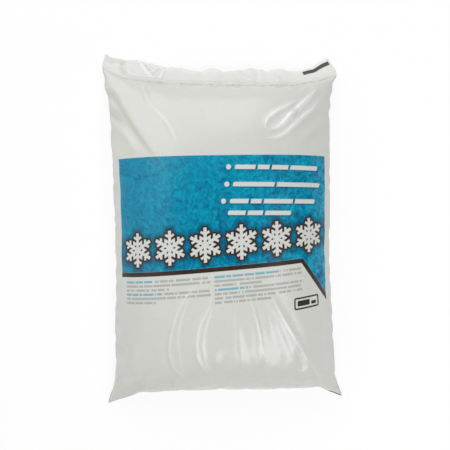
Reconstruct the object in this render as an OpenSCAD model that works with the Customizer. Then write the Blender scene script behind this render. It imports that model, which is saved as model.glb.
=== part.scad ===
// Sealed plastic sack of loose de-icing salt, lying on its back.
// X runs across the sack, Y from its bottom end to its top end, Z up from the floor.

/* [Film tube] */
// Width of the flat film tube, and so of both welds
layflat_w = 450; // [430:5:520]
// Thickness of one ply of film
film_t = 0.15; // [0.12:0.01:0.2]
// Length between the two welds along the middle of the filled sack
sack_len = 580; // [480:4:700]
// Width over the filled middle of the sack
waist_w = 414; // [360:2:430]
// Length at each end over which the waist widens to the corner ears
ear_len = 36; // [24:1:60]

/* [Filling] */
// Height of the side folds above the floor
side_fold_z = 36; // [28:1:44]
// Rise of the front film above the side folds at the bottom end
crown_bottom = 88; // [60:1:110]
// Rise of the front film above the side folds at the top end
crown_top = 66; // [44:1:90]
// Space between the salt and the film around it
fill_gap = 0.2; // [0.1:0.05:0.4]
// Angle of repose of the loose salt under the top weld
repose = 38; // [30:1:42]
// Distance from the top weld to the foot of the salt's slope
headspace = 2; // [0:1:14]

/* [Bottom end] */
// Height of the middle of the bottom weld above the floor
bottom_weld_z = 34; // [28:1:42]
// Width of each bottom corner ear
bottom_ear_w = 50; // [30:1:80]
// How far the bottom corner ears reach past the middle of the weld
bottom_ear_reach = 22; // [8:1:34]
// How far the bottom corner ears hang below the middle of the weld
bottom_ear_drop = 20; // [8:1:22]
// Length of loose film past the bottom weld
bottom_skirt_len = 15; // [8:1:18]
// Space between the film tucked under the bottom end and the back of the sack
tuck_gap = 0.6; // [0.5:0.1:0.9]

/* [Top end] */
// Height of the middle of the top weld above the floor
top_weld_z = 28; // [22:1:34]
// How far the top corner ears reach past the middle of the weld
top_ear_reach = 15; // [6:1:18]
// Length of loose film past the top weld
top_skirt_len = 34; // [26:1:40]

/* [Welds and folds] */
// Width of each heat-sealed band
weld_w = 8; // [4:1:8]
// Slit left between the two plies where they meet a weld
ply_slit = 0.1; // [0.06:0.02:0.2]
// Space between the end of the tube and its weld
seat_gap = 0.2; // [0.1:0.05:0.3]
// Straight film left between the corner ears' weld and the fold line
fold_margin = 1; // [0.6:0.2:2]
// Largest turn of the folding flap, from lying on the floor to right over
fold_turn = 140; // [90:5:145]
// Space left at the fold line when the flap is right over
fold_clear = 0.07; // [0.05:0.01:0.1]

/* [Hidden] */

film_colour = [0.86, 0.86, 0.84];
weld_colour = [0.80, 0.81, 0.79];
salt_colour = [0.93, 0.93, 0.91];

// Facets across one side of the sack, and along it
across = 24;
along = 32;

// Powers of the sack's two rounded outlines: across, along, and of its flat back
section_power = 2.4;
section_fall = 0.8;
end_power = 6;
end_fall = 0.6;
back_power = 6;
// How far the back is pressed past round, which leaves a flat face to lie on
back_press = 1.4;
// How gently the side folds change towards the ends
flare_power = 0.6;
top_bow_power = 3;
// Crowding of the facets towards the edges
crowding = 1.8;
// How soon the end of the tube takes up the film's whole thickness
inset_rise = 4;

ply_half = ply_slit / 2 + film_t;
half_len = sack_len / 2;
fold_p = top_ear_reach + weld_w + fold_margin;
// Film missing on each side of the fold line, so that the plies clear each other when folded
fold_gap = film_t / tan((180 - fold_turn) / 2) + fold_clear;
top_reach = top_ear_reach + weld_w + top_skirt_len;

// The loose film at the top slopes until its corners are just off the floor
floor_gap = 1;
top_droop = asin((top_weld_z - floor_gap) / top_reach);

// The frame's origin is under the middle of the whole sack
y_min = -half_len - bottom_ear_reach;
y_max = half_len + top_reach * cos(top_droop);
y_shift = -(y_min + y_max) / 2;

function crowd(w) = sign(w) * (1 - pow(1 - abs(w), crowding));
function crowded(n) = [for (i = [0:n]) crowd(2 * i / n - 1)];

// How far a place from -1 to 1 lies into an ear: 0 up to the ear's start, 1 at the corner
function into_ear(place, half, ear) = max(0, 1 - (1 - abs(place)) * half / ear);

// Bows of the two weld lines, measured from the middle of each weld
function bottom_bow(u) = bottom_ear_reach * into_ear(u, layflat_w / 2, bottom_ear_w);
function top_bow(u) = top_ear_reach * pow(abs(u), top_bow_power);
function bottom_ring_z(u) = bottom_weld_z
    - bottom_ear_drop * into_ear(u, layflat_w / 2, bottom_ear_w);
function top_ring_z(u) = top_weld_z - top_bow(u) * sin(top_droop);

// The sack's form: u runs across it and v along it, each from -1 to 1
function section(u) = pow(max(0, 1 - pow(abs(u), section_power)), section_fall);
function ending(v) = pow(max(0, 1 - pow(abs(v), end_power)), end_fall);
function flare(v) = pow(1 - ending(v), flare_power);
function pressed(u, v) = min(1, back_press * sqrt(max(0, 1 - pow(abs(u), back_power)))
                                           * sqrt(max(0, 1 - pow(abs(v), back_power))));
function crown(v) = (crown_bottom + crown_top) / 2 + v * (crown_top - crown_bottom) / 2;
function half_width(v) = (waist_w + (layflat_w - waist_w) * into_ear(v, half_len, ear_len)) / 2;
function seam_z(u, v) = side_fold_z
    + flare(v) * ((v < 0 ? bottom_ring_z(u) : top_ring_z(u)) - side_fold_z);
function along_y(u, v) = v * half_len
    + flare(v) * (v < 0 ? -bottom_bow(u) : top_bow(u) * cos(top_droop));
function inset_y(v, inset) = sign(v) * inset * min(1, inset_rise * ending(v));

function front_point(u, v, inset) = [
    (half_width(v) - inset) * u,
    along_y(u, v) - inset_y(v, inset),
    seam_z(u, v) + ply_half - inset + crown(v) * section(u) * ending(v)];
function back_point(u, v, inset) = [
    (half_width(v) - inset) * u,
    along_y(u, v) - inset_y(v, inset),
    (seam_z(u, v) - ply_half) * (1 - pressed(u, v)) + inset];

// One closed ring of points round the sack: over the front, then back under it
function ring(us, v, inset) = concat(
    [for (u = us) front_point(u, v, inset)],
    [for (i = [len(us) - 1:-1:0]) back_point(us[i], v, inset)]);

// Two triangles of the quad between corner k of ring i and the next of each
function quad(a, b, c, d) = [[a, b, c], [a, c, d]];
function wall(rows, n, start, turned) = [
    for (i = [0:rows - 2]) for (k = [0:n - 1])
        let (a = start + i * n + k, b = start + i * n + (k + 1) % n)
            each (turned ? quad(a, b, b + n, a + n) : quad(a, a + n, b + n, b))];
function rim(n, outer, inner, turned) = [
    for (k = [0:n - 1])
        let (m = (k + 1) % n)
            each (turned ? quad(outer + k, inner + k, inner + m, outer + m)
                         : quad(outer + k, outer + m, inner + m, inner + k))];

// A film wall closed on itself round the sack and open at both welds
module sack_tube() {
    us = crowded(across);
    vs = crowded(along);
    n = 2 * len(us);
    rows = len(vs);
    inner = rows * n;
    points = concat([for (v = vs) each ring(us, v, 0)],
                    [for (v = vs) each ring(us, v, film_t)]);
    faces = concat(wall(rows, n, 0, false), wall(rows, n, inner, true),
                   rim(n, 0, inner, false),
                   rim(n, (rows - 1) * n, inner + (rows - 1) * n, true));
    color(film_colour) translate([0, y_shift, 0]) polyhedron(points, faces, convexity = 4);
}

// The salt lies against the film, and slopes down under the top weld
fill_inset = film_t + fill_gap;
toe_margin = 2;
fill_v_top = 1 - (headspace + toe_margin) / half_len;

function fill_top(u, v) =
    let (p = front_point(u, v, fill_inset))
        [p.x, p.y, min(p.z, top_ring_z(u) + ((1 - v) * half_len - headspace) * tan(repose))];

// The salt keeps to the facet lines of the film, all but the outermost
function inner_lines(n) = let (all = crowded(n)) [for (i = [1:n - 1]) all[i]];
function fill_lines() = [for (v = inner_lines(along)) if (v < fill_v_top) v];

// A block with a top and a bottom sheet of points, closed all round its edge;
// the quads of its underside are split as those on top are, or the other way
module sheet_block(tops, bottoms, crossed = false) {
    rows = len(tops);
    cols = len(tops[0]);
    low = rows * cols;
    edge = concat([for (k = [0:cols - 2]) k],
                  [for (i = [0:rows - 2]) i * cols + cols - 1],
                  [for (k = [cols - 1:-1:1]) (rows - 1) * cols + k],
                  [for (i = [rows - 1:-1:1]) i * cols]);
    cells = [for (i = [0:rows - 2]) for (k = [0:cols - 2]) i * cols + k];
    faces = concat(
        [for (a = cells) each quad(a, a + cols, a + cols + 1, a + 1)],
        [for (a = cells)
            let (b = low + a)
                each (crossed ? quad(b + 1, b + cols + 1, b + cols, b)
                              : quad(b, b + 1, b + cols + 1, b + cols))],
        [for (k = [0:len(edge) - 1])
            let (a = edge[k], b = edge[(k + 1) % len(edge)]) each quad(a, b, low + b, low + a)]);
    polyhedron(concat([for (r = tops) each r], [for (r = bottoms) each r]), faces, convexity = 4);
}

module salt_fill() {
    us = inner_lines(across);
    vs = fill_lines();
    color(salt_colour) translate([0, y_shift, 0])
        sheet_block([for (v = vs) [for (u = us) fill_top(u, v)]],
                    [for (v = vs) [for (u = us) back_point(u, v, fill_inset)]], crossed = true);
}

// The loose film past the top weld is flat and slopes from the weld to the floor
module on_top_slope() {
    translate([0, half_len + y_shift, top_weld_z]) rotate([-top_droop, 0, 0]) children();
}

// Flat film between two lines across the sack, from one height to another off the slope's middle
module top_band(near, far, low, high) {
    us = crowded(across);
    half_w = layflat_w / 2;
    on_top_slope() translate([0, 0, low]) linear_extrude(high - low)
        polygon(concat([for (i = [0:across]) [half_w * us[i], near[i]]],
                       [for (i = [across:-1:0]) [half_w * us[i], far[i]]]));
}

function bowed(distance) = [for (u = crowded(across)) top_bow(u) + distance];
function straight(distance) = [for (i = [0:across]) distance];

module top_weld() {
    color(weld_colour) top_band(bowed(seat_gap), bowed(weld_w), -film_t, film_t);
}

module top_skirt_front() {
    color(film_colour) top_band(bowed(weld_w), straight(fold_p - fold_gap), 0, film_t);
}

module top_skirt_back() {
    color(film_colour) top_band(bowed(weld_w), straight(fold_p - fold_gap), -film_t, 0);
}

module top_flap_front() {
    color(film_colour)
        top_band(straight(fold_p + fold_gap), bowed(weld_w + top_skirt_len), 0, film_t);
}

module top_flap_back() {
    color(film_colour)
        top_band(straight(fold_p + fold_gap), bowed(weld_w + top_skirt_len), -film_t, 0);
}

// The loose film past the bottom weld is tucked under, and follows the back of the sack
tuck_len = weld_w + bottom_skirt_len;
band_steps = 6;
// How far along the sack its back is traced for the tuck, in how many samples, and the step that
// gives the back's slope
trace_len = 58;
trace_samples = 40;
slope_step = 0.58;

function running(steps, i = 0, sum = 0) =
    i == len(steps) ? [] : concat([sum + steps[i]], running(steps, i + 1, sum + steps[i]));

// Pairs of distance from the weld and place along the sack, down the back at one line across
function tuck_table(u) =
    let (vs = [for (i = [0:trace_samples]) -1 + trace_len / half_len * pow(i / trace_samples, 2)],
         points = [for (v = vs) back_point(u, v, 0)],
         far = running([for (i = [0:trace_samples]) i == 0 ? 0 : norm(points[i] - points[i - 1])]))
        [for (i = [0:trace_samples]) [far[i], vs[i]]];
function tuck_point(u, v, depth) =
    let (place = back_point(u, v, 0),
         way = back_point(u, v + slope_step / half_len, 0) - place,
         size = norm([way.y, way.z]),
         off = tuck_gap + depth)
        place + off * [0, way.z, -way.y] / size;
function tuck_line(tables, distance, depth) =
    let (us = crowded(across))
        [for (i = [0:across]) tuck_point(us[i], lookup(distance, tables[i]), depth)];

module tucked_band(near, far, top_depth, low_depth) {
    tables = [for (u = crowded(across)) tuck_table(u)];
    steps = [for (i = [0:band_steps]) near + (far - near) * i / band_steps];
    translate([0, y_shift, 0])
        sheet_block([for (d = steps) tuck_line(tables, d, top_depth)],
                    [for (d = steps) tuck_line(tables, d, low_depth)]);
}

module bottom_weld() {
    color(weld_colour) tucked_band(0, weld_w, 0, 2 * ply_half);
}

module bottom_skirt_front() {
    color(film_colour) tucked_band(weld_w, tuck_len, film_t + ply_slit, 2 * ply_half);
}

module bottom_skirt_back() {
    color(film_colour) tucked_band(weld_w, tuck_len, 0, film_t);
}

sack_tube();
salt_fill();
top_weld();
top_skirt_front();
top_skirt_back();
top_flap_front();
top_flap_back();
bottom_weld();
bottom_skirt_front();
bottom_skirt_back();
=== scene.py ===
"""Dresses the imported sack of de-icing salt: film, salt, welds, loose ends, print and stage."""

import math

import bpy
import numpy as np
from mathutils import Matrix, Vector


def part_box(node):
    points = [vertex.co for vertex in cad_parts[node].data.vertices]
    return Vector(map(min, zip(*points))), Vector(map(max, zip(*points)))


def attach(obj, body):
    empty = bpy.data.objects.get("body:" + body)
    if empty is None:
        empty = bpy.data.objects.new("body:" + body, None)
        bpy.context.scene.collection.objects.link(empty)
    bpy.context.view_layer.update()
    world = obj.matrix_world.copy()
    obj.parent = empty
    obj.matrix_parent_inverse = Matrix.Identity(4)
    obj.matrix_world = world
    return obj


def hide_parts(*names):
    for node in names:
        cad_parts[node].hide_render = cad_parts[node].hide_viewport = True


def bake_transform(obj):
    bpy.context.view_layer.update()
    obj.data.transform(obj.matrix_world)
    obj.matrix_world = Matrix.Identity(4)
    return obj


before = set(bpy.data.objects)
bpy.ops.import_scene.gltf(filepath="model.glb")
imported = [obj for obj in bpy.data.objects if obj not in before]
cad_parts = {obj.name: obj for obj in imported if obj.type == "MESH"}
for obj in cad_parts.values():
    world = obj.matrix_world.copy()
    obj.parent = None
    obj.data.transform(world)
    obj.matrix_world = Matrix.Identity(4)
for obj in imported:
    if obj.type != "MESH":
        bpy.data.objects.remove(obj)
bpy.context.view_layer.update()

bl_info = {
    "name": "Salt sack",
    "version": (1, 0, 0),
    "blender": (4, 5, 0),
    "location": "View3D > Sidebar > Salt sack",
    "description": "Builds a filled and welded sack of de-icing salt around its packed frame",
    "category": "Object",
}

MM = 0.001
WELD_LOW, WELD_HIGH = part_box("top_weld")


# Sizes and colours that a user may change

def length(name, default, description):
    """A length property in metres."""
    return bpy.props.FloatProperty(
        name=name, description=description, default=default, unit="LENGTH", precision=4)


def share(name, default, description):
    """A property from 0 to 1."""
    return bpy.props.FloatProperty(name=name, description=description, default=default, min=0.0, max=1.0)


def linear(red, green, blue):
    """A colour given in screen values from 0 to 255, in the linear values that shaders use."""
    values = np.array([red, green, blue]) / 255
    values = np.where(values <= 0.04045, values / 12.92, ((values + 0.055) / 1.055) ** 2.4)
    return tuple(float(value) for value in values)


def colour(name, screen, description):
    """A colour property, its default given in screen values."""
    return bpy.props.FloatVectorProperty(
        name=name, description=description, default=linear(*screen), size=3, min=0, max=1, subtype="COLOR")


class SackSizes(bpy.types.PropertyGroup):
    """Lengths of the filled sack."""
    layflat: length("Lay-flat width", WELD_HIGH.x - WELD_LOW.x, "Width of the flat tube of film")
    film_length: length("Film length", 0.628, "Flat length of the film between its two welds")
    body_length: length("Body length", 0.580, "Distance between the welds on the filled sack")
    waist: length("Waist", 0.414, "Width of the filled sack between its ends")
    ear_length: length("Ear length", 0.036, "Length at each end over which the waist widens to the ears")
    side_height: length("Side height", 0.036, "Height of the side folds over the floor")
    crown_bottom: length("Crown at the bottom", 0.088, "Rise of the front over the side folds, bottom end")
    crown_top: length("Crown at the top", 0.066, "Rise of the front over the side folds, top end")
    bottom_weld_height: length("Bottom weld height", 0.034, "Height of the bottom weld's middle")
    bottom_left_ear: length("Bottom left ear", 0.066, "Width of the bottom left corner ear")
    bottom_right_ear: length("Bottom right ear", 0.046, "Width of the bottom right corner ear")
    bottom_lean: length("Bottom lean", 0.0024, "How far the bottom weld's right end lies above its middle")
    bottom_ear_reach: length("Bottom ear reach", 0.022, "Reach of the bottom corners past the weld's middle")
    bottom_ear_drop: length("Bottom ear drop", 0.020, "Hang of the bottom corners under the weld's middle")
    top_weld_height: length("Top weld height", 0.028, "Height of the top weld's middle")
    top_ear_reach: length("Top ear reach", 0.015, "Reach past the top weld's middle that sets its droop")
    weld_width: length("Weld width", 0.008, "Width of each heat weld")
    top_skirt: length("Top skirt", 0.034, "Loose film past the top weld")
    bottom_skirt: length("Bottom skirt", 0.015, "Loose film past the bottom weld")
    film_thickness: length("Film thickness", 0.00015, "Thickness of one ply")


class FilmFinish(bpy.types.PropertyGroup):
    """Colours and gloss of the film and of what is printed on it, with the painted crest highlight and fold
    shade.
    """
    white: colour("Film white", (224, 225, 219), "The white film over the salt")
    skirt_white: colour("Loose film white", (254, 254, 250), "The film past the welds")
    weld_white: colour("Weld white", (224, 225, 219), "The pressed film of the welds")
    weld_line: colour("Weld line", (150, 142, 128), "The broken dark line along a weld's inner edge")
    salt: colour("Salt", (226, 224, 216), "The salt inside")
    # Painted highlight: near-white colour laid along the sharp crests in place of the glints of light on
    # them.
    crease_highlight: colour("Crease white", (247, 248, 246), "Film that is stretched white along a sharp crease")
    # Dust colour, also painted as shade into the valley folds; along the bottom edge it lies as specks of
    # dust.
    dust_and_fold_shade: colour("Soil", (190, 179, 156), "Dust in the folds and along the bottom edge")
    deep_blue: colour("Deep blue", (0, 98, 140), "Dark strokes of the frost pattern")
    bright_blue: colour("Bright blue", (4, 174, 206), "Light strokes of the frost pattern")
    stripe: colour("Stripe", (58, 46, 41), "The dark stripe, outlines and register marks")
    small_print: colour("Small print", (96, 100, 104), "The rows of small print")
    heading: colour("Heading", (28, 166, 194), "The headings of the small print")
    paper_white: colour("Print white", (222, 224, 219), "White ink on the blue panel")
    gloss: share("Roughness", 0.18, "Roughness of the film")
    skirt_cover: share("Loose film cover", 0.72, "How much a ply of loose film hides")


def sack_sizes():
    """The scene's lengths of the sack."""
    return bpy.context.scene.sack_sizes


def film_finish():
    """The scene's colours and gloss of the film."""
    return bpy.context.scene.film_finish


# Node helpers

EDGE_SOFT = 0.8
SAME_SPAN = 0.1


def feed(tree, socket, value):
    """Links a field or an output to a socket, or sets the socket's own value."""
    if isinstance(value, Field):
        value = value.socket
    if isinstance(value, bpy.types.NodeSocket):
        tree.links.new(value, socket)
    else:
        socket.default_value = value


def feed_all(tree, node, inputs):
    """Feeds a node's inputs by name."""
    for name, value in inputs.items():
        feed(tree, node.inputs[name], value)


class Field:
    """A number that varies over a surface: one node's output, with the usual signs."""

    def __init__(self, tree, socket):
        self.tree = tree
        self.socket = socket

    def math(self, operation, *others, clamp=False):
        node = self.tree.nodes.new("ShaderNodeMath")
        node.operation = operation
        node.use_clamp = clamp
        for socket, value in zip(node.inputs, (self, *others)):
            feed(self.tree, socket, value)
        return Field(self.tree, node.outputs[0])

    def __add__(self, other):
        return self.math("ADD", other)

    def __sub__(self, other):
        return self.math("SUBTRACT", other)

    def __mul__(self, other):
        return self.math("MULTIPLY", other)

    def __truediv__(self, other):
        return self.math("DIVIDE", other)

    def __abs__(self):
        return self.math("ABSOLUTE")

    def least(self, other):
        return self.math("MINIMUM", other)

    def most(self, other):
        return self.math("MAXIMUM", other)

    def wrap(self, low, high):
        return self.math("WRAP", high, low)

    def floor(self):
        return self.math("FLOOR")

    def over(self, limit):
        return self.math("GREATER_THAN", limit)

    def clamped(self):
        return self.math("ADD", 0.0, clamp=True)

    def same(self, number):
        """1 where the field holds a whole number."""
        return self.math("COMPARE", number, SAME_SPAN)

    def bell(self):
        """1 at zero, falling to 0 on both sides."""
        return (self * self * -1).math("EXPONENT")

    def above(self, level, gain):
        """0 up to a level, then growing by a gain to 1."""
        return ((self - level) * gain).clamped()

    def ramp(self, start, end):
        """0 up to a start, then growing to 1 at an end."""
        return self.above(start, 1 / (end - start))

    def inside(self, soft=EDGE_SOFT):
        """From a distance past an edge: 1 within the edge, 0 beyond it, over a soft width."""
        return (self / -soft).math("ADD", 0.5, clamp=True)


def add_node(tree, kind, inputs=None, **settings):
    """Adds a node, sets its options and feeds its inputs."""
    node = tree.nodes.new(kind)
    for name, value in settings.items():
        setattr(node, name, value)
    feed_all(tree, node, inputs or {})
    return node


def parts(tree, vector):
    """The three parts of a vector, as fields."""
    split = add_node(tree, "ShaderNodeSeparateXYZ", {"Vector": vector})
    return [Field(tree, output) for output in split.outputs]


def object_place(tree):
    """Places on a piece, in metres from the sack's origin."""
    return tree.nodes.new("ShaderNodeTexCoord").outputs["Object"]


def film_place(tree):
    """Places on the flat film in metres, and their two parts in millimetres."""
    uv = add_node(tree, "ShaderNodeUVMap", uv_map="film").outputs["UV"]
    across, along, _ = parts(tree, uv)
    return uv, across / MM, along / MM


def noise(tree, vector, scale, detail=3.0, roughness=0.55, distortion=0.0):
    """A noise field from 0 to 1."""
    node = add_node(tree, "ShaderNodeTexNoise", {
        "Vector": vector, "Scale": scale, "Detail": detail, "Roughness": roughness, "Distortion": distortion})
    return Field(tree, node.outputs["Fac"])


def mixed(tree, under, over, cover, kind="RGBA"):
    """A colour or a vector laid over another by a cover field."""
    node = add_node(tree, "ShaderNodeMix", data_type=kind)
    feed(tree, node.inputs["Factor"], cover)
    for name, value in (("A", under), ("B", over)):
        socket = [s for s in node.inputs if s.name == name and s.type == kind][0]
        feed(tree, socket, value if isinstance(value, bpy.types.NodeSocket) else (*value[:3], 1.0))
    return [s for s in node.outputs if s.type == kind][0]


def mottled(tree, rgb, dark, cover):
    """A colour that darkens to a share of itself where a cover field says."""
    return mixed(tree, rgb, np.multiply(rgb, dark), cover)


def new_material(name):
    """An empty material, its tree and its Principled shader."""
    material = bpy.data.materials.new(name)
    material.use_nodes = True
    tree = material.node_tree
    return material, tree, tree.nodes["Principled BSDF"]


BROAD_SCALE = 22.0
BROAD_HEIGHT = 0.0016
FACET_SCALE = 55.0
FACET_DEPTH = 0.25
CRUSH_SCALE = 30.0
CRUSH_HEIGHT = 0.0012
GRAIN_SCALE = 420.0
GRAIN_HEIGHT = 0.0004
MOTTLE_SCALE = 9.0


def crinkle_group():
    """Fine crinkles of thin film over salt grains. Height is in metres."""
    name = "film_crinkle"
    if name in bpy.data.node_groups:
        return bpy.data.node_groups[name]
    tree = bpy.data.node_groups.new(name, "ShaderNodeTree")
    for label, kind in (("Vector", "Vector"), ("Crinkle", "Float"), ("Grain", "Float")):
        tree.interface.new_socket(label, in_out="INPUT", socket_type="NodeSocket" + kind)
    for label in ("Height", "Mottle"):
        tree.interface.new_socket(label, in_out="OUTPUT", socket_type="NodeSocketFloat")
    source = tree.nodes.new("NodeGroupInput").outputs
    vector = source["Vector"]
    broad = noise(tree, vector, BROAD_SCALE, 4.0, 0.5, 0.6)
    facets = add_node(tree, "ShaderNodeTexVoronoi", {"Vector": vector, "Scale": FACET_SCALE},
                      feature="DISTANCE_TO_EDGE")
    crushed = Field(tree, facets.outputs["Distance"]).least(FACET_DEPTH) * noise(tree, vector, CRUSH_SCALE)
    crinkles = Field(tree, source["Crinkle"]) * (broad * BROAD_HEIGHT + crushed * CRUSH_HEIGHT)
    grains = Field(tree, source["Grain"]) * noise(tree, vector, GRAIN_SCALE, 2.0) * GRAIN_HEIGHT
    add_node(tree, "NodeGroupOutput", {
        "Height": crinkles + grains, "Mottle": noise(tree, vector, MOTTLE_SCALE, 5.0, 0.6)})
    return tree


CREST_HEIGHT = 0.0005
CREST_WIDTH = 0.0014
# Width, raggedness and cover of the painted highlight along the crests
CREST_HIGHLIGHT_WIDTH = 0.0019
CREST_RAGGED = 0.0018
RAGGED_SCALE = 110.0
CREST_HIGHLIGHT_COVER = 0.85
CRUMPLE_WIDTH = 0.007
CRUMPLE_HEIGHT = 0.0008
CRUMPLE_SCALE = 95.0
# Width of the painted shade in the valley folds
FOLD_SHADE_WIDTH = 0.006


def crease_fields(tree, place):
    """Height of the sharp crests, the cover of the painted highlight along them and the cover of painted
    shade, tinted as dust, in the valley folds.
    """
    ragged = (noise(tree, place, RAGGED_SCALE, 3.0, 0.7) - 0.5) * CREST_RAGGED
    facets = noise(tree, place, CRUMPLE_SCALE, 2.0, 0.6, 0.5)
    rises = []
    highlights = []
    fold_shades = []
    for name in ("crest_main", "crest_twin"):
        kept = add_node(tree, "ShaderNodeAttribute", attribute_name=name)
        offset, weight, _ = parts(tree, kept.outputs["Vector"])
        sharp = (abs(offset) / -CREST_WIDTH).math("EXPONENT") * weight.least(1) * CREST_HEIGHT
        crumple = (offset / CRUMPLE_WIDTH).bell() * weight.clamped() * facets * CRUMPLE_HEIGHT
        rises.append(sharp + crumple)
        # Painted highlight: near-white cover along each ridge's crest, ragged at its edges
        from_crest = (offset + ragged * weight) / (weight.most(1) * CREST_HIGHLIGHT_WIDTH)
        highlights.append(from_crest.bell() * weight.most(0) * CREST_HIGHLIGHT_COVER)
        # Painted shade, tinted as dust, along each valley fold
        fold_shades.append((offset / FOLD_SHADE_WIDTH).bell() * (weight * -1).most(0))
    return rises[0] + rises[1], highlights[0].most(highlights[1]).clamped(), fold_shades[0].most(fold_shades[1])


def crinkled(tree, shader, relief, extra=None):
    """Places the crinkle group in a material, bumps its shader and returns the group's mottle."""
    crinkle, grain, strength = relief
    group = add_node(tree, "ShaderNodeGroup", {
        "Vector": object_place(tree), "Crinkle": crinkle, "Grain": grain}, node_tree=crinkle_group())
    height = Field(tree, group.outputs["Height"])
    if extra is not None:
        height = height + extra
    bump = add_node(tree, "ShaderNodeBump", {"Height": height, "Strength": strength, "Distance": 1.0})
    feed(tree, shader.inputs["Normal"], bump.outputs["Normal"])
    return Field(tree, group.outputs["Mottle"])


# The print, drawn on the flat film in millimetres from its middle

TEXT_SLOPE = 0.0676
LINE_LEAN = -0.018
STRIPE_LEVEL = -46.4
STRIPE_WIDTH = 8.0
APEX = (153.5, -36.0)
APEX_NORMAL = (0.788, 0.6155)
PANEL_MIDDLE = 2.5
PANEL_HALF = 205.0
PANEL_TOP = 150.7
CRYSTAL_PITCH = 66.0
CRYSTAL_REACH = 31.0
CRYSTAL_STROKE = 2.9
# Place of each pair of twigs along an arm and its length, as shares of the arm
CRYSTAL_TWIGS = ((0.30, 0.40), (0.62, 0.30))
TWIG_COSINE = 0.5
TWIG_SINE = 0.866
TWIG_STROKE = 0.75
CRYSTAL_OUTLINE = 3.0
CRYSTAL_LEVEL = -6.0
CRYSTAL_COUNT = 6
# Place of the dot, level, first and last place of the bar, and places of its gaps
BULLET_ROWS = (
    (14.6, 129.5, 26.0, 188.0, (66.0, 92.0, 128.0)),
    (10.8, 98.9, 22.0, 193.0, (101.0,)),
    (4.2, 69.0, 16.0, 181.0, (52.0, 76.0, 136.0)),
    (None, 48.3, 12.0, 130.0, (46.0, 78.0)),
)
BULLET_DOT = 4.6
BAR_HALF = 4.0
BAR_CORNER = 2.4
GAP_HALF = 2.2
ITALIC = 0.22
ROW_TOP = -64.0
ROW_PITCH = 7.5
# First and last place, count of rows, headings and short rows, each with its row and length
LEFT_BLOCK = (-191.0, -22.0, 6, ((0, 60.0), (3, 78.0)), ((2, 92.0), (5, 66.0)))
RIGHT_BLOCK = (-15.0, 150.0, 7, ((0, 122.0), (3, 66.0)), ((2, 86.0), (6, 104.0)))
ROW_INK = 0.27
ROW_SOFT = 0.05
LINE_SOFT = 0.6
HEADING_GAP = 4.0
DASH = 2.2
DASH_BLANK = 0.14
LETTER = 1.3
LETTER_SWING = 0.2
SMALL_PRINT_COVER = 0.5
HEADING_COVER = 0.85
BADGE_MIDDLE = (160.0, -116.0)
BADGE_HALF = (27.0, 11.0)
BADGE_CORNER = 4.0
BADGE_RIM = 1.5
# Middle and half size of each block on the badge
BADGE_BLOCKS = ((-7.0, 0.0, 13.0, 5.0), (15.0, -2.0, 5.5, 3.0))
BLOCK_CORNER = 1.5
EAR_MARK_MIDDLE = (209.0, -314.0)
EAR_MARK_HALF = (13.0, 3.4)
# Cells in a metre, scale along and across the strokes, and share of each layer of frost
FROST_LAYERS = ((26.0, 46.0, 140.0, 0.8), (38.0, 75.0, 210.0, 1.1), (55.0, 120.0, 320.0, 0.9))
FROST_SHARD = 0.34
FROST_SPREAD = 9.0
FROST_BASE = 0.50
FROST_DRIFT = 0.35
FROST_DRIFT_SCALE = 12.0
# Boldness of the frost at a level on the film's middle line, and its growth for each millimetre
FROST_BOLD = 1.02
FROST_BOLD_RIGHT = 0.0021
FROST_BOLD_UP = -0.0015
FROST_BOLD_LEVEL = 60.0
SHADE = 0.45
HALO_REACH = 8.0
HALO_SOFT = 9.0
HALO_COVER = 0.7
OUTLINE_SOFT = 0.9
SHADOW_SHIFT = 1.6
SHADOW_SOFT = 3.0
SHADOW_COVER = 0.8


def box_distance(x, y, half_x, half_y, corner=0.0):
    """Distance past the edge of a rectangle with round corners."""
    over_x = abs(x) - (half_x - corner)
    over_y = abs(y) - (half_y - corner)
    if not corner:
        return over_x.most(over_y)
    out_x = over_x.most(0)
    out_y = over_y.most(0)
    return (out_x * out_x + out_y * out_y).math("SQRT") + over_x.most(over_y).least(0) - corner


def cell_tones(tree, vector, scale):
    """Two random tones for each cell of a flat pattern."""
    cells = add_node(tree, "ShaderNodeTexVoronoi", {"Vector": vector, "Scale": scale},
                     voronoi_dimensions="2D")
    pick = add_node(tree, "ShaderNodeSeparateColor", {"Color": cells.outputs["Color"]})
    return Field(tree, pick.outputs[0]), Field(tree, pick.outputs[1])


def frost_strokes(tree, uv, cell_scale, along_scale, across_scale):
    """Strokes of frost that run one way in each cell of the film."""
    turn, layer = cell_tones(tree, uv, cell_scale)
    turned = add_node(tree, "ShaderNodeVectorRotate", {"Vector": uv, "Angle": turn * (2 * math.pi)},
                      rotation_type="Z_AXIS")
    along, across, _ = parts(tree, turned.outputs[0])
    place = add_node(tree, "ShaderNodeCombineXYZ", {
        "X": along * along_scale, "Y": across * across_scale, "Z": layer * FROST_SPREAD}).outputs[0]
    shard, _ = cell_tones(tree, place, 1.0)
    strokes = noise(tree, place, 1.0, 3.0, 0.6, 1.2) - 0.5
    return strokes + (shard - 0.5) * FROST_SHARD


def crystal_distance(x, y):
    """Distance past the edge of a six-armed snow crystal with two pairs of twigs on each arm."""
    radius = (x * x + y * y).math("SQRT")
    angle = x.math("ARCTAN2", y).wrap(-math.pi / 6, math.pi / 6)
    along = radius * angle.math("COSINE")
    beside = abs(radius * angle.math("SINE"))
    edge = (beside - CRYSTAL_STROKE).most(along - CRYSTAL_REACH)
    for start, run_share in CRYSTAL_TWIGS:
        past = along - start * CRYSTAL_REACH
        run = past * TWIG_COSINE + beside * TWIG_SINE
        off = abs(past * TWIG_SINE - beside * TWIG_COSINE)
        twig = (off - CRYSTAL_STROKE * TWIG_STROKE).most(run - run_share * CRYSTAL_REACH)
        edge = edge.least(twig)
    return edge


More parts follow.
